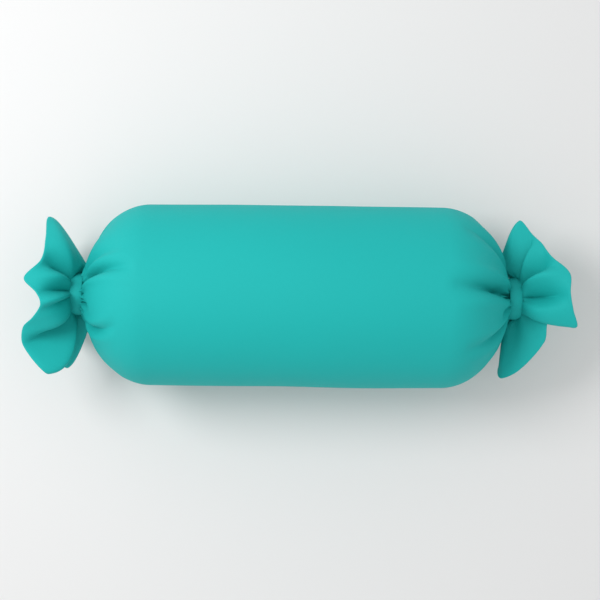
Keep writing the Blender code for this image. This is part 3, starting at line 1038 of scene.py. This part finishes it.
# the walls between stacked outlines of count points each, and a cap on both ends
def stackFaces(levels, count):
    faces = []
    for level in range(levels - 1):
        for k in range(count):
            a, b = level * count + k, level * count + (k + 1) % count
            faces.append((a, b, b + count, a + count))
    faces.append(tuple(reversed(range(count))))
    faces.append(tuple(range((levels - 1) * count, levels * count)))
    return faces


# a coil: one long wire, flattened into loops that hook over the middle line
def makeCoil(name, node, side, look):
    low, high, pitch = coilLow[0], coilHigh[0], look["pitch"]
    count = int(((high - low) / pitch - 1) * look["pointsPerTurn"])
    points = []
    for i in range(count + 1):
        turn = 2 * pi * i / look["pointsPerTurn"]
        x = low + pitch * (0.5 + turn / (2 * pi)) + look["lean"] * sin(turn)
        if side > 0:
            x += pitch * 0.49  # the loops of one coil lie between those of the other
        across = side * (look["middleAcross"] - look["reachAcross"] * cos(turn) * (1 + 0.12 * cos(turn)))
        out = coilHeight + look["reachOut"] * sin(turn)
        points.append(zipPoint(min(x, high - look["wire"]), across, out))
    mesh = meshOf(name, [tubeGeometry(points, [look["wire"]] * len(points), look["sides"])])
    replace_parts(addPiece(name, mesh, "root", nylon), node)


# a row of separate stitches over a surface; surface(along) gives a point and the way out of it
def stitchRow(surface, start, end, look):
    shapes, step = [], look["stitchLength"] + look["stitchGap"]
    count = int((end - start) / step)
    for k in range(count):
        begin = start + k * step + (end - start - count * step) / 2
        points, widths = [], []
        for share in (0, 0.12, 0.35, 0.65, 0.88, 1):
            place, out = surface(begin + look["stitchLength"] * share)
            rise = look["stitchRadius"] * (2.2 * share * (1 - share) * 2 - 0.6)
            points.append(place + np.array(out) * rise)
            widths.append(look["stitchRadius"] * (0.55 if share in (0, 1) else 1.0))
        shapes.append(tubeGeometry(points, widths, 6))
    return shapes


def coverSpot(x, turn):  # a point on the cover and the way out of it
    out = np.array((0, sin(turn), cos(turn)))
    return ringPoint(x, turn, bodyRadius + coverLift(x, bodyRadius, turn, body)), out


def makeStitches(look):
    span, end = look["topStitchAcross"], body["slotHalfLength"] + look["pastSlot"]
    rows, coilRows = [], []
    for side in (-1, 1):
        def besideSlot(x):
            return coverSpot(x, zipAngle + side * span / bodyRadius)

        def besideCoil(x):
            across = side * look["coilStitchAcross"]
            return zipPoint(x, across, np.sqrt(tapeRadius**2 - across**2)), outward

        rows += stitchRow(besideSlot, -end, end, look)
        coilRows += stitchRow(besideCoil, coilLow[0], coilHigh[0], look)
    for x in (-end, end):  # the bars that close the ends of the opening
        def barAcross(across):
            return coverSpot(x, zipAngle + across / bodyRadius)

        rows += stitchRow(barAcross, -span, span, look)
    addPiece("opening_stitches", meshOf("opening_stitches", rows), "root", thread)
    addPiece("coil_stitches", meshOf("coil_stitches", coilRows), "root", thread)


def roundedBox(low, high, bevel):  # a block in the zip's frame with its edges rounded off
    shape = bmesh.new()
    bmesh.ops.create_cube(shape, size=1.0)
    for vert in shape.verts:
        vert.co = [low[i] + (high[i] - low[i]) * (vert.co[i] + 0.5) for i in range(3)]
    edges = list(shape.edges)
    bmesh.ops.bevel(shape, geom=edges, offset=bevel, segments=3, profile=0.5, affect="EDGES")
    shape.verts.index_update()
    verts = [zipPoint(*vert.co) for vert in shape.verts]
    faces = [tuple(vert.index for vert in face.verts) for face in shape.faces]
    shape.free()
    return verts, faces


sliderLook = {
    "length": 0.0090,
    "halfWidth": 0.0039,
    "noseHalfWidth": 0.0026,
    "floor": (0.0727, 0.0736),
    "top": (0.0769, 0.0778),
    "flange": 0.0009,
    "flangeLow": 0.0752,
    "loopTop": 0.0806,
    "loopReach": 0.0026,
    "loopRise": 0.0011,
    "loopWire": 0.0006,
    "postHalfWidth": 0.0006,
    "postEnds": (0.0027, 0.0006),  # back from the slider's front
    "bevel": 0.0002,
    "outlinePoints": 10,
}


# a slider plate: wide at its front, narrower at its tail, with rounded corners and a crowned face
def platePoints(look, low, high, x):
    nose, extra = look["noseHalfWidth"], look["halfWidth"] - look["noseHalfWidth"]
    outline = []
    for i in range(look["outlinePoints"] + 1):
        share = i / look["outlinePoints"]
        corner = min(1.0, min(share, 1 - share) / 0.12)
        trim = 0.62 + 0.38 * np.sqrt(1 - (1 - corner) ** 2)
        width = trim * (nose + extra * smoothStep(share, 0.1, 0.6))
        outline.append((look["length"] * (share - 0.5), width))
    outline = outline + [(along, -width) for along, width in reversed(outline)]
    levels = [(low, 0.93), (low + 0.00015, 1.0)]
    levels += [(high - 0.00025, 1.0), (high - 0.00005, 0.94), (high, 0.80)]
    verts = []
    for out, scale in levels:
        verts += [zipPoint(x + along * scale, across * scale, out) for along, across in outline]
    return verts, stackFaces(len(levels), len(outline))


def metalPiece(name, shapes, body, node):
    piece = addPiece(name, meshOf(name, shapes), body, nickel)
    piece.data.set_sharp_from_angle(angle=radians(40))
    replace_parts(piece, node)


# the slider: two plates on a post, flanges down both sides, and a wire loop for the pull
def makeSlider(look):
    x = (sliderLow[0] + sliderHigh[0]) / 2
    half, (floorLow, floorHigh), (topLow, topHigh) = look["length"] / 2, look["floor"], look["top"]
    shapes = [platePoints(look, floorLow, floorHigh, x), platePoints(look, topLow, topHigh, x)]
    back, front = (x + half - gap for gap in look["postEnds"])
    post = look["postHalfWidth"]
    low, high = (back, -post, floorLow + 0.0003), (front, post, topHigh - 0.0003)
    shapes.append(roundedBox(low, high, look["bevel"]))
    for side in (-1, 1):
        inner, outer = sorted((side * (look["halfWidth"] - look["flange"]), side * look["halfWidth"]))
        low = (x - half * 0.1, inner, look["flangeLow"])
        high = (x + half * 0.82, outer, topHigh - 0.0002)
        shapes.append(roundedBox(low, high, look["bevel"]))
    reach, rise, wire = look["loopReach"], look["loopRise"], look["loopWire"]
    legs = [(-reach, topHigh - 0.0004), (-reach, topHigh + wire)]
    crest, bends = look["loopTop"] - wire, [pi * i / 8 for i in range(9)]
    arch = [(-reach * cos(bend), crest - rise * (1 - sin(bend))) for bend in bends]
    loop = legs + arch + [(-along, out) for along, out in reversed(legs)]
    points = [zipPoint(x + along, 0, out) for along, out in loop]
    shapes.append(tubeGeometry(points, [wire] * len(points), 12, guide=downhill))
    metalPiece("slider_metal", shapes, "slider", "zip_slider")


pullLook = {
    "length": 0.0140,
    "halfWidth": 0.0026,
    "neck": 0.0017,
    "neckEnd": 0.006,
    "thickness": 0.00045,
    "window": (0.0010, 0.0040, 0.0012),  # begins, ends, half width
    "outlinePoints": 40,
    "straightness": 1.35,
    "windowCorner": 0.7,
    "ribEnds": (0.0058, 0.0102),
    "ribHalfWidth": 0.0011,
    "ribThickness": 0.00022,
}


def pullEdge(look, turn):  # the pull's outline: a blunt end at the hinge, a narrow neck, a round tip
    tip = look["length"] - look["halfWidth"]
    push, last = cos(turn) * look["straightness"], sin(np.arccos(1 / look["straightness"]))
    slide = float(np.clip(push, -1, 1))
    along = tip / 2 + slide * (tip / 2 + 0.0002) - 0.0002
    flare = float(smoothStep(along, 0.0, look["neckEnd"]))
    width = look["neck"] + (look["halfWidth"] - look["neck"]) * flare
    bend = float(np.clip(sin(turn) / last, -1, 1))
    if push >= 1:
        return tip + look["halfWidth"] * cos(np.arcsin(bend)), look["halfWidth"] * bend
    if push <= -1:
        return -0.0006, width * bend
    return along, width * (1 if bend > 0 else -1)


def windowEdge(look, turn):
    begin, end, half = look["window"]
    along, across = (np.clip(part / look["windowCorner"], -1, 1) for part in (cos(turn), sin(turn)))
    return (begin + end) / 2 + (end - begin) / 2 * along, half * across


# the pull hangs straight out from its hinge: a plate with a window for the loop, a raised rim and a rib
def makePull(look):
    x = float(pullJoint["pos_m"][0])
    hinge = float((np.array(pullJoint["pos_m"]) - (0, 0, axisHeight)) @ outward)
    count, thickness = look["outlinePoints"], look["thickness"]
    turns = [2 * pi * k / count for k in range(count)]
    inner = np.array([windowEdge(look, turn) for turn in turns])
    outer = np.array([pullEdge(look, turn) for turn in turns])
    profile = [(0, 1), (0.2, 1), (0.75, 0.6), (0.84, 1.0), (0.95, 1.0), (1.0, 0.45)]
    loop = profile + [(share, -height) for share, height in reversed(profile)]
    verts, faces = [], []
    for level, (share, height) in enumerate(loop):
        for along, across in inner + (outer - inner) * share:
            verts.append(zipPoint(x + height * thickness, across, hinge + along))
        after = (level + 1) % len(loop)
        for k in range(count):
            b = (k + 1) % count
            faces.append((level * count + k, level * count + b, after * count + b, after * count + k))
    shapes = [(verts, faces)]
    (ribLow, ribHigh), half, thick = look["ribEnds"], look["ribHalfWidth"], look["ribThickness"]
    for side in (-1, 1):
        middle = x + side * thickness * 0.55
        low, high = (middle - thick, -half, hinge + ribLow), (middle + thick, half, hinge + ribHigh)
        shapes.append(roundedBox(low, high, 0.00018))
    metalPiece("pull_metal", shapes, "pull", "zip_pull")


stopLook = {
    "topHalfWidth": 0.00095,
    "bottomHalfWidth": 0.00265,
    "crimps": ((-0.62, 0.00100), (0, 0.00112), (0.62, 0.00100)),  # place along the stop, height
    "core": 0.00085,
}


# a stop: a short channel of metal, crimped in three places over the end of the coil
def makeStop(name, node, half, look):
    low, high = boxOf(node)
    middle, length = (low + high) / 2, (high[0] - low[0]) / 2
    across, core = float((middle - (0, 0, axisHeight)) @ downhill), look["core"]
    shapes = []
    for share, height in look["crimps"]:
        x = middle[0] + share * length
        crimpLow = (x - length * 0.36, across - half, coilHeight - 0.0010)
        crimpHigh = (x + length * 0.36, across + half, coilHeight + height)
        shapes.append(roundedBox(crimpLow, crimpHigh, 0.00022))
    coreLow = (middle[0] - length * 0.94, across - half * 0.9, coilHeight - core)
    coreHigh = (middle[0] + length * 0.94, across + half * 0.9, coilHeight + core)
    shapes.append(roundedBox(coreLow, coreHigh, 0.0002))
    metalPiece(name, shapes, "root", node)


labelLook = {
    "length": 0.024,
    "drop": 0.0150,
    "below": 0.0050,  # from the zip's middle to the seam that holds it
    "columns": 36,
    "rows": 26,
    "lift": 0.0010,
    "curl": 0.00484,
    "wave": 0.0005,
    "thickness": 0.00035,
}


# the blank label: caught in the seam below the zip, lying on the cover and curling up at its free edge
def makeLabel(look):
    low, high = boxOf("care_label")
    rows, columns = look["rows"], look["columns"]
    points = np.zeros((rows + 1, columns + 1, 3))
    flat = np.zeros((rows + 1, columns + 1, 2))
    for row in range(rows + 1):
        share = row / rows
        down = look["drop"] * share
        turn = zipAngle + (look["below"] + down) / bodyRadius
        lift = look["lift"] * smoothStep(share, 0.0, 0.4) + look["curl"] * max(0.0, share - 0.55) ** 2
        for column in range(columns + 1):
            wide = look["length"] * (column / columns - 0.5)
            x = (low[0] + high[0]) / 2 + wide * (1 - 0.02 * share)
            skin = bodyRadius + coverLift(x, bodyRadius, turn, body) + 0.0003
            wave = look["wave"] * share * sin(wide * 260 + 0.8)
            points[row, column] = ringPoint(x, turn, skin + lift + wave)
            flat[row, column] = (wide, down)
    pressDown(points, body["restsAt"] - 0.0002, body["softness"])
    label = gridPiece("blank_label", points, flat, closed=False, material=satin)
    label.data.shade_smooth()
    thicken(label, look["thickness"])
    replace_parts(label, "care_label")


def finishNode(node, material):  # a CAD piece that keeps its shape
    for slot in bpy.data.objects[node].material_slots:
        slot.material = material


makeCoil("upper_coil", "zip_coil_upper", -1, zipLook)
makeCoil("lower_coil", "zip_coil_lower", 1, zipLook)
makeStitches(zipLook)
makeSlider(sliderLook)
makePull(pullLook)
makeStop("upper_top_stop", "zip_top_stop_upper", stopLook["topHalfWidth"], stopLook)
makeStop("lower_top_stop", "zip_top_stop_lower", stopLook["topHalfWidth"], stopLook)
makeStop("bottom_stop", "zip_bottom_stop", stopLook["bottomHalfWidth"], stopLook)
makeLabel(labelLook)
finishNode("zip_tape_upper", tape)
finishNode("zip_tape_lower", tape)
finishNode("left_gather_elastic", braid)
finishNode("right_gather_elastic", braid)
print("zip, label and elastics made")


studio = {
    "floor": 0.80,
    "floorSize": 60.0,
    "cameraHeight": 1.2,
    "lens": 85.0,
    "cameraShift": (0.0034, -0.0030),
    "roll": 0.65,
    "keyPower": 5.8,
    "keyPlace": (-0.62, 0.27, 0.95),
    "keySize": 0.5,
    "keyAim": (0, 0, 0.05),
    "fill": 0.76,
}


def makeStudio(look):
    scene.view_settings.view_transform = "Standard"
    bpy.ops.mesh.primitive_plane_add(size=look["floorSize"])
    floor = bpy.context.object
    floor.name = "floor"
    material, shader, start = newMaterial("paleFloor", Roughness=0.7, Specular_IOR_Level=0.2)
    shader.inputs["Base Color"].default_value = (*[look["floor"]] * 3, 1)
    floor.data.materials.append(material)
    world = bpy.data.worlds.new("softLight")
    world.use_nodes = True
    background = world.node_tree.nodes["Background"]
    background.inputs["Color"].default_value = (1, 1, 1, 1)
    background.inputs["Strength"].default_value = look["fill"]
    scene.world = world
    key = bpy.data.lights.new("key", "AREA")
    key.shape = "DISK"
    key.size = look["keySize"]
    key.energy = look["keyPower"]
    lamp = bpy.data.objects.new("key", key)
    scene.collection.objects.link(lamp)
    lamp.location = look["keyPlace"]
    aim = Vector(look["keyAim"]) - lamp.location
    lamp.rotation_euler = aim.to_track_quat("-Z", "Y").to_euler()
    camera = bpy.data.cameras.new("camera")
    camera.lens = look["lens"]
    camera.sensor_width = 36.0
    camera.clip_start = 0.05
    eye = bpy.data.objects.new("camera", camera)
    scene.collection.objects.link(eye)
    eye.location = (look["cameraShift"][0], look["cameraShift"][1], axisHeight + look["cameraHeight"])
    eye.rotation_euler = (0, 0, radians(look["roll"]))
    scene.camera = eye


makeStudio(studio)
